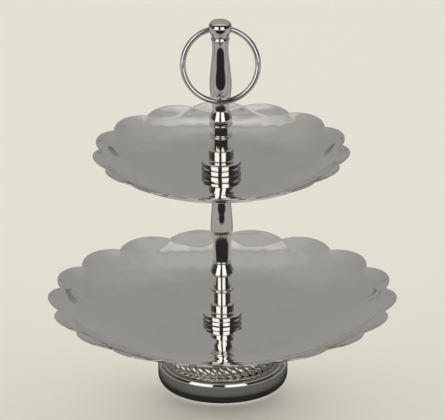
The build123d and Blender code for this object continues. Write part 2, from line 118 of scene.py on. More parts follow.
def number(tree, value):
    """A plain number as the left side of a sum."""
    node = tree.nodes.new("ShaderNodeMath")
    node.operation = "ADD"
    node.inputs[0].default_value = value
    node.inputs[1].default_value = 0.0
    return Sum(tree, node.outputs[0])


def add_node(tree, kind, settings=None, inputs=None):
    """Any other node: its type, then its settings, then its values and links."""
    node = tree.nodes.new(kind)
    for name, value in (settings or {}).items():
        setattr(node, name, value)
    for name, value in (inputs or {}).items():
        feed(tree, value, node.inputs[name])
    return node


def blend_by(choice, low, high):
    """low where choice is 0 and high where it is 1."""
    return low * (1.0 - choice) + high * choice


print("sums ready")

# %% [markdown]
# ## Turning a piece on the lathe
# The column is made of pieces that were turned or cast round an axis. Each has
# one outline: corners with the small rounding that polishing leaves, and long
# curves. Spinning a closed outline gives a closed skin with no pole to pinch
# the reflection. Polished metal shows every flat, so the outline is sampled
# finely instead of being smoothed afterwards.

# %% Outlines
LATHE_STEPS = 192
CORNER_STEPS = 6


def rounded(corners):
    """Points along a polygon whose corners (r, z, rounding) are filleted, in mm."""
    points = []
    count = len(corners)
    for i, (r, z, rounding) in enumerate(corners):
        here = Vector((r, z))
        if rounding <= 0:
            points.append(here)
            continue
        back = Vector(corners[i - 1][:2]) - here
        ahead = Vector(corners[(i + 1) % count][:2]) - here
        half = back.angle(ahead) / 2
        room = min(back.length, ahead.length) * 0.49
        cut = min(rounding / math.tan(half), room)
        start, end = here + back.normalized() * cut, here + ahead.normalized() * cut
        radius = cut * math.tan(half)
        centre = here + (back.normalized() + ahead.normalized()).normalized() * radius / math.sin(half)
        for step in range(CORNER_STEPS + 1):
            t = step / CORNER_STEPS
            spoke = (start - centre).lerp(end - centre, t)
            points.append(centre + spoke.normalized() * radius)
    return points


def curve(points, steps=12):
    """Corners with no rounding along a smooth curve through the points."""
    found = []
    ends = [2 * Vector(points[0]) - Vector(points[1]), *map(Vector, points),
            2 * Vector(points[-1]) - Vector(points[-2])]
    for a, b, c, d in zip(ends, ends[1:], ends[2:], ends[3:]):
        for step in range(steps):
            t = step / steps
            p = 0.5 * (2 * b + (c - a) * t + (2 * a - 5 * b + 4 * c - d) * t ** 2
                       + (3 * b - a - 3 * c + d) * t ** 3)
            found.append((p.x, p.y, 0))
    found.append((*points[-1], 0))
    return found


def arc(centre, radius, start, end, steps=16):
    """Corners with no rounding along an arc, angles in degrees from outwards."""
    found = []
    for step in range(steps + 1):
        a = math.radians(start + (end - start) * step / steps)
        found.append((centre[0] + radius * math.cos(a), centre[1] + radius * math.sin(a), 0))
    return found


def finish_mesh(name, mesh, sharp=35):
    """A smooth object with crisp edges where the outline really turns."""
    mesh.shade_smooth()
    mesh.set_sharp_from_angle(angle=math.radians(sharp))
    piece = bpy.data.objects.new(name, mesh)
    scene.collection.objects.link(piece)
    return piece


def lathe(name, corners, base=0.0):
    """Spin a closed outline, in mm above base, about the Z axis."""
    outline = rounded(corners)
    clean = [p for i, p in enumerate(outline) if (p - outline[i - 1]).length > 1e-3]
    shape = bmesh.new()
    rings = []
    for p in clean:
        ring = []
        for step in range(LATHE_STEPS):
            a = TURN * step / LATHE_STEPS
            ring.append(shape.verts.new((p.x * MM * math.cos(a), p.x * MM * math.sin(a),
                                         base + p.y * MM)))
        rings.append(ring)
    for lower, upper in zip(rings, rings[1:] + rings[:1]):
        for i in range(LATHE_STEPS):
            j = (i + 1) % LATHE_STEPS
            shape.faces.new((lower[i], lower[j], upper[j], upper[i]))
    bmesh.ops.recalc_face_normals(shape, faces=shape.faces)
    mesh = bpy.data.meshes.new(name)
    shape.to_mesh(mesh)
    shape.free()
    return finish_mesh(name, mesh)


def low_z(node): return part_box(node)[0].z
def tall(node): return (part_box(node)[1].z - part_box(node)[0].z) / MM
def wide(node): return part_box(node)[1].x / MM


BORE = 3.25      # free bore round the tie rod
made = {}        # finished piece and its finish, by CAD node


def turned(node, corners):
    """Make a turned piece in the place of its CAD node."""
    piece = lathe(node + "_skin", corners, low_z(node))
    made[node] = piece
    print(node, len(piece.data.polygons), "faces")
    return piece


def collar_outline(radius, height):
    """A drum with rounded edges and one turned groove."""
    middle = height / 2
    groove = 0.8
    return [(BORE, 0, 0), (radius, 0, 0.5), (radius, middle - groove, 0.25),
            (radius - groove, middle, 0.3), (radius, middle + groove, 0.25),
            (radius, height - 0.5, 1.0), (radius - 1.6, height, 1.5), (BORE, height, 0)]


def stepped_outline(drum, drum_height, stem, height):
    """A wide drum under a narrower stem."""
    return [(BORE, 0, 0), (drum - 0.5, 0, 0.3), (drum, 1.2, 0.6), (drum, drum_height, 0.8),
            (stem, drum_height, 0.35), (stem, height, 0), (BORE, height, 0)]


def bead_outline(radius, height):
    """A thin ring with a round edge."""
    middle = height / 2
    return [(BORE, 0, 0), *arc((radius - middle, middle), middle, -90, 90), (BORE, height, 0)]


turned("lower_collar", collar_outline(wide("lower_collar"), tall("lower_collar")))
turned("upper_collar", collar_outline(wide("upper_collar"), tall("upper_collar")))
turned("lower_plinth", stepped_outline(wide("lower_plinth"), 7.6, 6.8, tall("lower_plinth")))
turned("upper_plinth", stepped_outline(wide("upper_plinth"), 9.7, 7.5, tall("upper_plinth")))
turned("lower_ring", bead_outline(wide("lower_ring"), tall("lower_ring")))
turned("upper_ring", bead_outline(wide("upper_ring"), tall("upper_ring")))

top = tall("lower_knop")
turned("lower_knop", [
    (BORE, 0, 0), (6.8, 0, 0), (6.8, 10.6, 0.4), (7.8, 10.6, 0.2),
    *curve([(7.9, 10.7), (9.7, 11.5), (10.15, 12.9), (9.6, 14.8)], 8),
    *curve([(9.4, 15.2), (7.7, 18.9), (6.7, top - 2.4)], 10),
    *arc((6.3, top - 1.15), 1.15, -70, 70, 8), (6.6, top, 0), (BORE, top, 0)])

top = tall("lower_baluster")
turned("lower_baluster", [
    (BORE, 0, 0), (6.8, 0, 0),
    *curve([(6.82, 0.4), (7.6, 10), (8.85, 27), (8.1, 42), (7.2, 52), (6.9, top - 0.2)], 14),
    (6.9, top, 0), (BORE, top, 0)])

top = tall("capital")
turned("capital", [
    (BORE, 0, 0), (7.2, 0, 0), *arc((7.2, 1.6), 1.6, -85, 85, 10),
    *curve([(7.4, 3.3), (8.2, 7.2), (10.6, 10.6), (15.6, top - 2.1)], 10),
    *arc((16.0, top - 1.0), 1.0, -80, 80, 8), (BORE, top, 0)])

top = tall("upper_knop")
turned("upper_knop", [
    (BORE, 0, 0), (7.5, 0, 0), (7.5, 7.3, 0.4), (8.4, 7.3, 0.2),
    *arc((8.2, 8.4), 1.15, -70, 60, 10),
    *curve([(8.7, 9.7), (9.15, 11.6), (8.85, 14.1), (7.8, 16.9), (6.9, 19.2), (6.5, top - 0.2)], 10),
    (6.5, top, 0), (BORE, top, 0)])

top = tall("handle_baluster")
turned("handle_baluster", [
    (BORE, 0, 0), (6.6, 0, 0),
    *curve([(6.62, 0.4), (7.5, 7), (8.75, 20), (8.2, 31), (6.95, 43), (6.35, top - 6.5),
            (6.68, top - 0.2)], 14),
    (6.7, top, 0), (BORE, top, 0)])

# %% [markdown]
# ## The foot
# The foot is spun from sheet in two shells: a bun with a flat shelf for the
# roped border, and a cove-shaped neck up to the deck. Each is turned as a
# closed shell, inside and outside together. The rim under the bun is a
# separate flat-bottomed wire.

# %% Foot shells and rim
foot_r = wide("foot_shell")
WALL = 1.5
SHOULDER = 5.7
BOWL = 10.4
SHELF = tall("foot_shell")
sole_r = foot_r - BOWL
shelf_hole = 32.0
outer = [*arc((sole_r, BOWL), BOWL, -90, 0, 20),
         *arc((foot_r - SHOULDER, SHELF - SHOULDER), SHOULDER, 0, 90)]
inner = [*arc((sole_r, BOWL), BOWL - WALL, -90, 0, 20),
         *arc((foot_r - SHOULDER, SHELF - SHOULDER), SHOULDER - WALL, 0, 90)]
turned("foot_shell", [*outer, (shelf_hole, SHELF, 0), (shelf_hole, SHELF - WALL, 0),
                      *reversed(inner), (sole_r - WALL, WALL, 0), (sole_r - WALL, 0, 0)])

NECK = tall("foot_neck")
waist_r, deck_r = 29.0, wide("foot_neck")
cove_dip = deck_r - waist_r
cove_r = ((NECK / 2) ** 2 + cove_dip ** 2) / (2 * cove_dip)


def cove(wall, start, end):
    """The hollow side of the neck between two heights."""
    steps = 24
    found = []
    for step in range(steps + 1):
        z = start + (end - start) * step / steps
        drop = math.sqrt((cove_r + wall) ** 2 - (z - NECK / 2) ** 2)
        found.append((waist_r + cove_r - drop, z, 0))
    return found


turned("foot_neck", [*cove(0, 0, NECK), (BORE, NECK, 0), (BORE, NECK - WALL, 0),
                     *reversed(cove(WALL, 0, NECK - WALL))])
rim_r, rim_h = wide("foot_rim"), tall("foot_rim")
turned("foot_rim", [(rim_r - 2.8, 0, 0.3), (rim_r, 0, 0.3), (rim_r, rim_h, 0.5),
                    (rim_r - 2.8, rim_h, 0.3)])

# %% [markdown]
# ## The finial and its eye
# The cap is faceted in outline and drilled across for the carrying ring. The
# drilling is a boolean cut on the turned skin, as on the real casting.

# %% Finial
top = tall("finial")
eye_z = frame["joints"][0]["pos_m"][2]
EYE_R = 3.42
finial = turned("finial", [
    (0.02, 0, 0), (6.9, 0, 0), *curve([(6.95, 0.05), (7.5, 1.75), (6.95, 3.45)], 8), (5.9, 3.5, 0.3),
    (5.9, 5.0, 0.3), (7.0, 5.0, 0.3), (9.2, 8.3, 0.8),
    *curve([(9.4, 10.5), (9.38, 12.4), (9.0, 13.9), (7.9, 15.6), (6.3, top - 0.95), (3.6, top - 0.3),
            (0.02, top)], 10)])


def drill_across(piece, z, radius, reach):
    """Cut a round hole along X through a finished skin."""
    tool_mesh = bpy.data.meshes.new("drill")
    shape = bmesh.new()
    across = Matrix.Translation((0, 0, z)) @ Matrix.Rotation(math.pi / 2, 4, "Y")
    bmesh.ops.create_cone(shape, cap_ends=True, segments=96, radius1=radius, radius2=radius,
                          depth=2 * reach, matrix=across)
    shape.to_mesh(tool_mesh)
    shape.free()
    tool = bpy.data.objects.new("drill", tool_mesh)
    scene.collection.objects.link(tool)
    cut = piece.modifiers.new("eye", "BOOLEAN")
    cut.operation, cut.solver, cut.object = "DIFFERENCE", "EXACT", tool
    drilled = bpy.data.meshes.new_from_object(piece.evaluated_get(bpy.context.evaluated_depsgraph_get()))
    piece.modifiers.clear()
    piece.data = drilled
    drilled.set_sharp_from_angle(angle=math.radians(35))
    bpy.data.objects.remove(tool)
    bpy.data.meshes.remove(tool_mesh)


drill_across(finial, eye_z, EYE_R * MM, 14 * MM)
print("finial drilled", len(finial.data.polygons), "faces")

# %% [markdown]
# ## The carrying ring
# A length of round wire bent into a ring. Its place is read from the frame: the
# ring hangs from the eye and leans on the handle, so the lean is the angle
# between the eye and the middle of the ring. A closed tube made point by point
# keeps the highlight along the wire unbroken.

# %% Carrying ring
WIRE = 2.25 * MM
ring_low, ring_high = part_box("lifting_ring")
ring_middle = (ring_low + ring_high) / 2
ring_radius = (ring_high.x - ring_low.x) / 2 - WIRE
hang = Vector((0, 0, eye_z)) - ring_middle
lean = math.atan2(hang.y, hang.z)
RING_STEPS, WIRE_STEPS = 288, 40


def wire_ring(name, middle, radius, wire, tilt):
    """A closed round tube standing in a plane through the X axis."""
    shape = bmesh.new()
    turn_back = Matrix.Translation(middle) @ Matrix.Rotation(-tilt, 4, "X")
    loops = []
    for i in range(RING_STEPS):
        a = TURN * i / RING_STEPS
        loop = []
        for j in range(WIRE_STEPS):
            b = TURN * j / WIRE_STEPS
            reach = radius + wire * math.cos(b)
            spot = Vector((reach * math.cos(a), wire * math.sin(b), reach * math.sin(a)))
            loop.append(shape.verts.new(turn_back @ spot))
        loops.append(loop)
    for here, ahead in zip(loops, loops[1:] + loops[:1]):
        for j in range(WIRE_STEPS):
            k = (j + 1) % WIRE_STEPS
            shape.faces.new((here[j], here[k], ahead[k], ahead[j]))
    bmesh.ops.recalc_face_normals(shape, faces=shape.faces)
    mesh = bpy.data.meshes.new(name)
    shape.to_mesh(mesh)
    shape.free()
    return finish_mesh(name, mesh)


made["lifting_ring"] = wire_ring("lifting_ring_skin", ring_middle, ring_radius, WIRE, lean)
print("ring radius", round(ring_radius / MM, 2), "lean", round(math.degrees(lean), 2))

# %% [markdown]
# ## Fluted plates from a rule
# A fluted plate repeats one lobe round a dish, so its shape is a rule: how far
# out the scalloped edge is at each angle, and how high the sheet is at each
# radius. Geometry Nodes can hold such a rule. A flat grid is bent round: one
# direction of the grid is the angle, and the other walks over the sheet from
# the bore out along the top, round the edge and back underneath. A sculpted
# mesh could look the same, but only the rule keeps all lobes alike and lets a
# size be changed.

# %% Tree helpers
def new_tree(name, sizes):
    """A geometry tree with one named input for each size."""
    tree = bpy.data.node_groups.new(name, "GeometryNodeTree")
    tree.interface.new_socket("Geometry", in_out="INPUT", socket_type="NodeSocketGeometry")
    for label in sizes:
        tree.interface.new_socket(label, in_out="INPUT", socket_type="NodeSocketFloat")
    tree.interface.new_socket("Finish", in_out="INPUT", socket_type="NodeSocketMaterial")
    tree.interface.new_socket("Geometry", in_out="OUTPUT", socket_type="NodeSocketGeometry")
    inputs = tree.nodes.new("NodeGroupInput")
    values = {label: Sum(tree, inputs.outputs[label]) for label in sizes}
    return tree, inputs, values


def bent_grid(tree, rows, steps):
    """A grid whose rows and steps are read back as two counts."""
    grid = add_node(tree, "GeometryNodeMeshGrid", {},
                    {"Size X": 1.0, "Size Y": 1.0, "Vertices X": rows + 1, "Vertices Y": steps + 1})
    place = add_node(tree, "GeometryNodeInputPosition")
    split = add_node(tree, "ShaderNodeSeparateXYZ", {}, {"Vector": place.outputs[0]})
    row = (Sum(tree, split.outputs["X"]) + 0.5) * rows
    angle = (Sum(tree, split.outputs["Y"]) + 0.5) * TURN
    return grid, row, angle


def close_tree(tree, inputs, grid, x, y, z, named=None):
    """Bend the grid, weld its seams, realize it and give it its finish."""
    spot = add_node(tree, "ShaderNodeCombineXYZ", {}, {"X": x, "Y": y, "Z": z})
    shape = grid.outputs["Mesh"]
    for label, value in (named or {}).items():
        store = add_node(tree, "GeometryNodeStoreNamedAttribute", {"data_type": "FLOAT", "domain": "POINT"},
                         {"Geometry": shape, "Name": label, "Value": value})
        shape = store.outputs["Geometry"]
    bend = add_node(tree, "GeometryNodeSetPosition", {}, {"Geometry": shape, "Position": spot.outputs[0]})
    weld = add_node(tree, "GeometryNodeMergeByDistance", {},
                    {"Geometry": bend.outputs[0], "Distance": 0.004 * MM})
    real = add_node(tree, "GeometryNodeRealizeInstances", {}, {"Geometry": weld.outputs[0]})
    coat = add_node(tree, "GeometryNodeSetMaterial", {},
                    {"Geometry": real.outputs[0], "Material": inputs.outputs["Finish"]})
    output = tree.nodes.new("NodeGroupOutput")
    tree.links.new(coat.outputs[0], output.inputs["Geometry"])


def grown(name, tree, sizes, finish, sharp=35):
    """Run a tree on an empty object and keep the result as a plain mesh."""
    holder = bpy.data.objects.new(name + "_seed", bpy.data.meshes.new(name + "_seed"))
    scene.collection.objects.link(holder)
    modifier = holder.modifiers.new("shape", "NODES")
    modifier.node_group = tree
    for item in tree.interface.items_tree:
        if item.in_out == "INPUT" and item.name in sizes:
            modifier[item.identifier] = float(sizes[item.name])
        if item.in_out == "INPUT" and item.name == "Finish":
            modifier[item.identifier] = finish
    ready = holder.evaluated_get(bpy.context.evaluated_depsgraph_get())
    mesh = bpy.data.meshes.new_from_object(ready)
    mesh.name = name
    holder.modifiers.clear()
    bpy.data.objects.remove(holder)
    shape = bmesh.new()
    shape.from_mesh(mesh)
    bmesh.ops.recalc_face_normals(shape, faces=shape.faces)
    if shape.calc_volume(signed=True) < 0:
        bmesh.ops.reverse_faces(shape, faces=shape.faces)
    shape.to_mesh(mesh)
    print(name, len(mesh.polygons), "faces,", round(shape.calc_volume() * 1e6, 1), "cm3")
    shape.free()
    return finish_mesh(name, mesh, sharp)


def material_shell(name):
    """A material with its tree and Principled shader, ready to be fed."""
    material = bpy.data.materials.new(name)
    material.use_nodes = True
    tree = material.node_tree
    return material, tree, tree.nodes["Principled BSDF"]


# %% Plate rule
PLATE_SIZES = ["Base", "Sheet", "Bore", "Tip Radius", "Notch Radius", "Flat Radius", "Rim Height",
               "Tip Height", "Flute Radius", "Flute Slope", "Lobes", "First Notch"]
FLAT_ROWS, BORDER_ROWS, EDGE_ROWS, UNDER_ROWS, UNDER_FLAT_ROWS = 8, 56, 8, 36, 7
LOBE_STEPS = 40
EDGE_TILT = math.radians(26)


def plate_tree(name, lobes):
    """Everything above as one geometry tree, sizes in metres and radians."""
    tree, inputs, v = new_tree(name, PLATE_SIZES)
    top_end = FLAT_ROWS + BORDER_ROWS
    edge_end = top_end + EDGE_ROWS
    rows = edge_end + UNDER_ROWS + UNDER_FLAT_ROWS + 1
    grid, row, angle = bent_grid(tree, rows, lobes * LOBE_STEPS)
    left = rows - row
    flat_part = (row / FLAT_ROWS).at_most((left - 1) / UNDER_FLAT_ROWS).clamp()
    border = ((row - FLAT_ROWS) / BORDER_ROWS).at_most((left - UNDER_FLAT_ROWS - 1) / UNDER_ROWS).clamp()
    round_edge = ((row - top_end) / EDGE_ROWS).clamp() * math.pi + (row - (rows - 1)).clamp() * math.pi

    step = TURN / v["Lobes"]
    turns = (angle - v["First Notch"]) / step
    around = (turns - turns.floor() - 0.5) * step
    half_step = step / 2
    arc_centre = ((v["Tip Radius"] ** 2 - v["Notch Radius"] ** 2)
                  / (2 * (v["Tip Radius"] - v["Notch Radius"] * half_step.cos())))
    arc_radius = v["Tip Radius"] - arc_centre
    edge = (arc_centre * around.cos()
            + (arc_radius ** 2 - (arc_centre * around.sin()) ** 2).at_least(0.0).sqrt())

    half_sheet = v["Sheet"] / 2
    inner = v["Bore"] + (v["Flat Radius"] - v["Bore"]) * flat_part
    middle_r = inner + (edge - half_sheet - v["Flat Radius"]) * border
    run = v["Notch Radius"] - v["Flat Radius"]
    bend = (run ** 2 + v["Rim Height"] ** 2) / (2 * v["Rim Height"])
    out = (middle_r - v["Flat Radius"]).at_least(0.0)
    dish = bend - (bend ** 2 - out ** 2).sqrt()
    ball_r = v["Tip Radius"] - v["Flute Radius"] * v["Flute Slope"].sin()
    ball_z = v["Tip Height"] + v["Flute Radius"] * v["Flute Slope"].cos()
    off_r = middle_r * around.cos() - ball_r
    off_t = middle_r * around.sin()
    flute = ball_z - (v["Flute Radius"] ** 2 - off_r ** 2 - off_t ** 2).at_least(0.0).sqrt()
    far_in = (0.3 - border).above(0.0)
    sheet_top = dish.smooth_min(flute + far_in * 0.1, 0.5 * MM)
    tilt = border * border * EDGE_TILT
    middle_z = v["Base"] + v["Sheet"] + sheet_top - half_sheet / tilt.cos()
    r = middle_r + half_sheet * (tilt.cos() * round_edge.sin() - tilt.sin() * round_edge.cos())
    z = middle_z + half_sheet * (tilt.cos() * round_edge.cos() + tilt.sin() * round_edge.sin())
    close_tree(tree, inputs, grid, r * angle.cos(), r * angle.sin(), z,
               {"border": border})
    return tree


def plate(node, tip, notch_depth, flat, rim, tip_height, flute, slope, lobes, first_notch, finish):
    """One plate, sizes in mm and degrees, in the place of its CAD node."""
    sizes = {"Base": low_z(node), "Sheet": 1.2 * MM, "Bore": BORE * MM, "Tip Radius": tip * MM,
             "Notch Radius": (tip - notch_depth) * MM, "Flat Radius": flat * MM,
             "Rim Height": rim * MM, "Tip Height": tip_height * MM, "Flute Radius": flute * MM,
             "Flute Slope": math.radians(slope), "Lobes": lobes,
             "First Notch": math.radians(first_notch)}
    piece = grown(node + "_skin", plate_tree(node + "_rule", lobes), sizes, finish)
    made[node] = piece
    return piece


blank = bpy.data.materials.new("unfinished")
plate("lower_plate", 140.0, 7.5, 73.0, 18.8, 20.3, 115.0, 28.0, 18, 8.5, blank)
plate("upper_plate", 103.2, 5.6, 52.0, 16.4, 17.7, 95.0, 30.0, 15, 7.5, blank)

# %% [markdown]
# ## The roped border
# A rope border looks like a thick bar twisted and bent into a ring. Modelling
# each lobe and placing it would leave gaps where lobes meet, so the border is
# one closed tube whose radius rises and falls along slanting lines. The depth of
# the valleys is stored on the mesh, and the finish darkens them later.

# %% Rope rule
ROPE_SIZES = ["Base", "Ring Radius", "Section", "Lift", "Inner Radius", "Groove", "Lobes", "Slant"]
ROPE_ROWS, ROPE_STEPS = 44, 16


def rope_tree(name, lobes):
    """A tube round the foot with slanting lobes, flat where it sits."""
    tree, inputs, v = new_tree(name, ROPE_SIZES)
    grid, row, angle = bent_grid(tree, ROPE_ROWS, lobes * ROPE_STEPS)
    roll = row / ROPE_ROWS * TURN
    wave = (angle * v["Lobes"] / 2 + roll * v["Slant"]).sin().abs()
    valley = (1.0 - wave) ** 2.2
    section = v["Section"] - v["Groove"] * valley
    r = v["Ring Radius"] + section * roll.cos()
    z = v["Base"] + v["Lift"] + section * roll.sin()
    close_tree(tree, inputs, grid, r.at_least(v["Inner Radius"]) * angle.cos(),
               r.at_least(v["Inner Radius"]) * angle.sin(), z.at_least(v["Base"]),
               {"valley": valley})
    return tree


rope_sizes = {"Base": low_z("gadroon_border"), "Ring Radius": 41.4 * MM, "Section": 5.95 * MM,
              "Lift": 4.8 * MM, "Inner Radius": 36.3 * MM, "Groove": 1.5 * MM, "Lobes": 44,
              "Slant": 2.0}
made["gadroon_border"] = grown("gadroon_border_skin", rope_tree("rope_rule", 44), rope_sizes, blank, 60)

# %% [markdown]
# ## Polished silver plate
# Silver is nearly a mirror, so its look is what it reflects plus three small
# things: a warm grey where it has begun to tarnish, a polishing haze that
# widens the highlights, and the faint unevenness of beaten or turned metal.
# Each is a noise on object coordinates, so it stays on the piece.

# %% Silver finishes
BRIGHT = (0.93, 0.915, 0.885)
DULL = (0.70, 0.66, 0.59)
DARK = (0.10, 0.095, 0.085)


def silver(name, haze=0.035, uneven=0.02, tarnish=0.25, wave_scale=60.0, attribute=None):
    """Mirror silver: haze, unevenness and tarnish set how old it looks."""
    material, tree, shader = material_shell(name)
    place = add_node(tree, "ShaderNodeTexCoord").outputs["Object"]
    clouds = add_node(tree, "ShaderNodeTexNoise", {}, {"Vector": place, "Scale": 38.0, "Detail": 4.0,
                                                       "Roughness": 0.6})
    fine = add_node(tree, "ShaderNodeTexNoise", {}, {"Vector": place, "Scale": 900.0, "Detail": 3.0,
                                                     "Roughness": 0.7})
    broad = add_node(tree, "ShaderNodeTexNoise", {}, {"Vector": place, "Scale": wave_scale,
                                                      "Detail": 1.0, "Roughness": 0.4})
    cloud, speck = Sum(tree, clouds.outputs[0]), Sum(tree, fine.outputs[0])
    age = (cloud.step(0.50, 0.78) * tarnish).clamp()
    colour = add_node(tree, "ShaderNodeMix", {"data_type": "RGBA"})
    feed(tree, age, colour.inputs["Factor"])
    colour.inputs[6].default_value = (*BRIGHT, 1)
    colour.inputs[7].default_value = (*DULL, 1)
    tint = colour.outputs[2]
    rough = haze * (0.7 + 0.6 * cloud) + speck.step(0.55, 0.8) * haze * 0.8
    if attribute:
        stored = add_node(tree, "ShaderNodeAttribute", {"attribute_name": attribute})
        depth = Sum(tree, stored.outputs["Fac"])
        grime = depth.step(0.25, 0.9)
        darker = add_node(tree, "ShaderNodeMix", {"data_type": "RGBA"})
        feed(tree, grime, darker.inputs["Factor"])
        feed(tree, tint, darker.inputs[6])
        darker.inputs[7].default_value = (*DARK, 1)
        tint = darker.outputs[2]
        rough = rough + grime * 0.25
    tree.links.new(tint, shader.inputs["Base Color"])
    feed(tree, rough, shader.inputs["Roughness"])
    shader.inputs["Metallic"].default_value = 1.0
    bump = add_node(tree, "ShaderNodeBump", {}, {"Height": Sum(tree, broad.outputs[0]) + speck * 0.005,
                                                 "Strength": uneven, "Distance": 0.001})
    tree.links.new(bump.outputs[0], shader.inputs["Normal"])
    return material


plate_silver = silver("plate_silver", haze=0.03, uneven=0.65, tarnish=0.2, wave_scale=60.0)
turned_silver = silver("turned_silver", haze=0.03, uneven=0.03, tarnish=0.3)
foot_silver = silver("foot_silver", haze=0.05, uneven=0.05, tarnish=0.4)
rope_silver = silver("rope_silver", haze=0.07, uneven=0.05, tarnish=0.4, attribute="valley")
wire_silver = silver("wire_silver", haze=0.05, uneven=0.04, tarnish=0.3)
FINISH = {"lower_plate": plate_silver, "upper_plate": plate_silver, "foot_shell": foot_silver,
          "foot_neck": foot_silver, "foot_rim": foot_silver, "gadroon_border": rope_silver,
          "lifting_ring": wire_silver}


# %% [markdown]
# ## Rod, nut, washers and felt
# These few pieces keep their CAD shape: they are small, plain and mostly out of
# sight. Zinc gets fine radial brushing and a dull roughness, felt gets short
# fibres from stretched noise, and the fibre washers a dry black.

# %% Plain finishes
def grained(name, light, dark, metal, rough, scale, stretch=(1, 1, 1), depth=0.3):
    """A finish with one noise for colour, roughness and bump."""
    material, tree, shader = material_shell(name)
    place = add_node(tree, "ShaderNodeTexCoord").outputs["Object"]
    laid = add_node(tree, "ShaderNodeMapping", {}, {"Vector": place, "Scale": stretch})
    noise = add_node(tree, "ShaderNodeTexNoise", {}, {"Vector": laid.outputs[0], "Scale": scale,
                                                      "Detail": 5.0, "Roughness": 0.65})
    amount = Sum(tree, noise.outputs[0])
    colour = add_node(tree, "ShaderNodeMix", {"data_type": "RGBA"})
    feed(tree, amount.step(0.3, 0.7), colour.inputs["Factor"])
    colour.inputs[6].default_value = (*dark, 1)
    colour.inputs[7].default_value = (*light, 1)
    tree.links.new(colour.outputs[2], shader.inputs["Base Color"])
    feed(tree, rough + (amount - 0.5) * 0.3, shader.inputs["Roughness"])
    shader.inputs["Metallic"].default_value = metal
    bump = add_node(tree, "ShaderNodeBump", {}, {"Height": amount, "Strength": depth,
                                                 "Distance": 0.0004})
    tree.links.new(bump.outputs[0], shader.inputs["Normal"])
    return material


zinc = grained("zinc", (0.62, 0.62, 0.64), (0.42, 0.42, 0.44), 1.0, 0.38, 420.0, (1, 1, 6), 0.25)
felt = grained("green_felt", (0.10, 0.16, 0.11), (0.03, 0.06, 0.04), 0.0, 0.95, 900.0, (1, 1, 3), 0.9)
fibre = grained("black_fibre", (0.06, 0.06, 0.055), (0.02, 0.02, 0.02), 0.0, 0.8, 700.0, (1, 1, 1), 0.5)
PLAIN = {"tie_rod": zinc, "base_nut": zinc, "base_washer": zinc, "lower_plate_pad": felt,
         "upper_plate_pad": felt, "lower_gasket": fibre, "upper_gasket": fibre}
for node, material in PLAIN.items():
    kept = frame["nodes"][node]
    kept.data.materials.clear()
    kept.data.materials.append(material)

# %% [markdown]
# ## Joining the skins to the frame
# Each skin rides on its CAD node's body, hides that node and takes its finish,
# so the ring swings with its own skin and everything else stays with the stand.

# %% Ride, replace and finish
for node, piece in made.items():
    piece.data.materials.clear()
    piece.data.materials.append(FINISH.get(node, turned_silver))
    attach(piece, "ring" if node == "lifting_ring" else "stand")
    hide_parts(node)
print(len(made), "skins on the frame")

# %% [markdown]
# ## The studio
# A mirror shows its room, so the room is the lighting. The table is pale, the
# wall behind is a mid grey, the ceiling is a wide soft panel, and the side
# where the camera stands is dark with two tall windows.

# %% Table
def disc(name, radius, height):
    """A round flat sheet, without a material yet."""
    shape = bmesh.new()
    bmesh.ops.create_circle(shape, cap_ends=True, segments=128, radius=radius,
                            matrix=Matrix.Translation((0, 0, height)))
    mesh = bpy.data.meshes.new(name)
    shape.to_mesh(mesh)
    shape.free()
    sheet = bpy.data.objects.new(name, mesh)
    scene.collection.objects.link(sheet)
    return sheet


table = disc("table", 9.0, 0.0)
paper, tree, shader = material_shell("table_paper")
place = add_node(tree, "ShaderNodeTexCoord").outputs["Object"]
grain = add_node(tree, "ShaderNodeTexNoise", {}, {"Vector": place, "Scale": 2.0, "Detail": 2.0})
tone = add_node(tree, "ShaderNodeMix", {"data_type": "RGBA"}, {})
feed(tree, grain.outputs[0], tone.inputs["Factor"])
tone.inputs[6].default_value = (0.79, 0.785, 0.70, 1)
tone.inputs[7].default_value = (0.82, 0.805, 0.72, 1)
tree.links.new(tone.outputs[2], shader.inputs["Base Color"])
shader.inputs["Roughness"].default_value = 0.9
shader.inputs["Specular IOR Level"].default_value = 0.1
table.data.materials.append(paper)

# %% Room
world = bpy.data.worlds.new("studio")
scene.world = world
world.use_nodes = True
tree = world.node_tree
background = tree.nodes["Background"]
ray_way = add_node(tree, "ShaderNodeTexCoord").outputs["Generated"]
way = add_node(tree, "ShaderNodeSeparateXYZ", {}, {"Vector": ray_way})
x, y, z = (Sum(tree, way.outputs[axis]) for axis in "XYZ")
bearing = x.atan2(-y)                    # 0 towards the camera, positive to its right
WALL_LIGHT, ZENITH_LIGHT, ROOM_DARK, WINDOW_LIGHT = 0.30, 0.42, 0.025, 1.05
SIDE_END, SIDE_BLUR = 2.45, 0.16         # bearing where the dark side ends, and its soft edge
LEFT_WINDOW, RIGHT_WINDOW = -0.685, 0.40
side_end = SIDE_END + z.step(0.22, 0.34) * 0.27 - z.step(0.36, 0.52) * 1.15
dark_side = 1.0 - ((bearing.abs() - side_end) / SIDE_BLUR + 0.5).clamp()
zenith = (y * 0.26 + z * 0.966).step(0.90, 0.97)
left_window = 1.0 - (bearing - LEFT_WINDOW).abs().step(0.33, 0.40)
right_window = 1.0 - (bearing - RIGHT_WINDOW).abs().step(0.30, 0.37)
windows = (left_window * z.step(-0.06, 0.0)).at_least(right_window * z.step(-0.02, 0.04))
windows = windows * (1.0 - z.step(0.64, 0.70))
wall = WALL_LIGHT + z.step(0.45, 0.95) * 0.08
gloom = ROOM_DARK + bearing.abs().step(1.3, 2.4) * 0.08
mirrored = blend_by(dark_side, wall, gloom) + windows * WINDOW_LIGHT
mirrored = blend_by(zenith, mirrored, ZENITH_LIGHT)
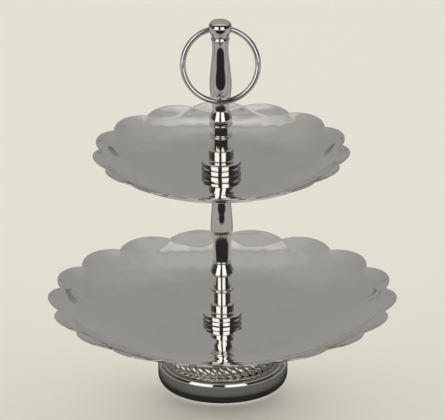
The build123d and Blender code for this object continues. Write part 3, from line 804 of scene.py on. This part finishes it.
# The table is lit by a low ring of soft light, stronger from behind, so that
# only the foot shades it and the shade falls forward.
LOW_RING, OVERHEAD = 6.2, 0.30
low_ring = (z.step(0.03, 0.08) - z.step(0.28, 0.36)) * (1.0 - bearing.cos())
table_light = OVERHEAD + low_ring * LOW_RING
path = add_node(tree, "ShaderNodeLightPath")
light = blend_by(Sum(tree, path.outputs["Is Glossy Ray"]), table_light, mirrored)
tree.links.new(light.socket, background.inputs["Strength"])
background.inputs["Color"].default_value = (1.0, 0.985, 0.95, 1)

# %% Soft box over the back of the stand, seen only in the metal
BOX_HALF_WIDE, BOX_MIDDLE, BOX_HALF_DEEP, BOX_HEIGHT = 0.40, 0.235, 0.105, 0.75
BOX_EDGE_GLOW, BOX_EXTRA_GLOW = 0.36, 0.30
box_mesh = bpy.data.meshes.new("soft_box")
box_mesh.from_pydata([(side * BOX_HALF_WIDE, BOX_MIDDLE + end * BOX_HALF_DEEP, BOX_HEIGHT)
                      for side, end in ((-1, -1), (1, -1), (1, 1), (-1, 1))],
                     [], [(3, 2, 1, 0)])
soft_box = bpy.data.objects.new("soft_box", box_mesh)
scene.collection.objects.link(soft_box)
soft_box.visible_camera = soft_box.visible_diffuse = soft_box.visible_shadow = False
box_paint, tree, shader = material_shell("box_paint")
shader.inputs["Base Color"].default_value = (0, 0, 0, 1)
shader.inputs["Specular IOR Level"].default_value = 0.0
place = add_node(tree, "ShaderNodeTexCoord").outputs["Object"]
split = add_node(tree, "ShaderNodeSeparateXYZ", {}, {"Vector": place})
x, y = Sum(tree, split.outputs["X"]), Sum(tree, split.outputs["Y"])
edge = (x / BOX_HALF_WIDE).abs().at_least(((y - BOX_MIDDLE) / BOX_HALF_DEEP).abs())
glow = BOX_EDGE_GLOW + BOX_EXTRA_GLOW * (1.0 - edge.step(0.0, 1.0))
shade = add_node(tree, "ShaderNodeCombineXYZ", {}, {"X": glow, "Y": glow * 0.985, "Z": glow * 0.95})
tree.links.new(shade.outputs[0], shader.inputs["Emission Color"])
shader.inputs["Emission Strength"].default_value = 1.0
box_mesh.materials.append(box_paint)

# %% The table as the metal sees it, with painted shadow and highlight
# Painted for the metal to reflect: a bright disc under the foot that gives a painted highlight on its base
# edge, a painted contact shadow close to the foot that fades to grey further out, darker behind the stand,
# and a dark patch in front of the stand.
card = disc("card_with_painted_shadow", 8.0, 0.4 * MM)
card.visible_camera = card.visible_diffuse = card.visible_shadow = False
shadow_card_paint, tree, shader = material_shell("shadow_card_paint")
place = add_node(tree, "ShaderNodeTexCoord").outputs["Object"]
split = add_node(tree, "ShaderNodeSeparateXYZ", {}, {"Vector": place})
x, y = Sum(tree, split.outputs["X"]), Sum(tree, split.outputs["Y"])
far_out = (x * x + y * y).sqrt()
around = x.atan2(-y).abs()
BASE_EDGE_HIGHLIGHT, CONTACT_SHADOW_DROP, SHADOW_FADE_NEAR, SHADOW_FADE_FAR, PATCH_TONE = 0.9, 0.88, 0.10, 0.23, 0.02
# The bright middle is a painted highlight and the dark ring round it a painted contact shadow, both seen
# only in the metal.
tone = (BASE_EDGE_HIGHLIGHT - far_out.step(0.0435, 0.047) * CONTACT_SHADOW_DROP
        + far_out.step(0.058, 0.085) * SHADOW_FADE_NEAR + far_out.step(0.13, 0.18) * SHADOW_FADE_FAR)
tone = tone * (1.0 - 0.6 * around.step(1.9, 2.8))
patch = ((around / 0.92) ** 2 + ((far_out.op("LOGARITHM", math.e) - 0.10) / 0.80) ** 2).sqrt()
tone = blend_by(1.0 - patch.step(0.9, 1.1), tone, PATCH_TONE)
shade = add_node(tree, "ShaderNodeCombineXYZ", {}, {"X": tone, "Y": tone * 0.985, "Z": tone * 0.94})
shader.inputs["Base Color"].default_value = (0, 0, 0, 1)
shader.inputs["Specular IOR Level"].default_value = 0.0
tree.links.new(shade.outputs[0], shader.inputs["Emission Color"])
shader.inputs["Emission Strength"].default_value = 1.0
card.data.materials.append(shadow_card_paint)

# %% [markdown]
# ## Camera
# The stand is seen from a little above through a long lens, which keeps the
# ellipses of foot and plates nearly alike.

# %% Camera
ELEVATION = math.radians(22.8)
ROLL = math.radians(-0.45)
DISTANCE = 12.0
VIEW_WIDE = 356.0 * MM      # width of the view at the stand
AIM_Z = 156.4 * MM
AIM_ASIDE, AIM_BELOW = 0.72 * MM, 4.16 * MM     # the stand sits a little off the middle
camera_data = bpy.data.cameras.new("camera")
camera_data.sensor_width = 36
camera_data.lens = camera_data.sensor_width * DISTANCE / VIEW_WIDE
camera_data.clip_start, camera_data.clip_end = 0.1, 60
camera = bpy.data.objects.new("camera", camera_data)
scene.collection.objects.link(camera)
scene.camera = camera
back = Vector((0, -math.cos(ELEVATION), math.sin(ELEVATION)))
up = Vector((0, math.sin(ELEVATION), math.cos(ELEVATION)))
aim = Vector((AIM_ASIDE, 0, AIM_Z)) - up * AIM_BELOW
camera.rotation_mode = "QUATERNION"
camera.location = aim + back * DISTANCE
camera.rotation_quaternion = ((-back).to_track_quat("-Z", "Y").to_matrix().to_4x4()
                              @ Matrix.Rotation(ROLL, 4, "Z")).to_quaternion()
scene.view_settings.view_transform = "Standard"
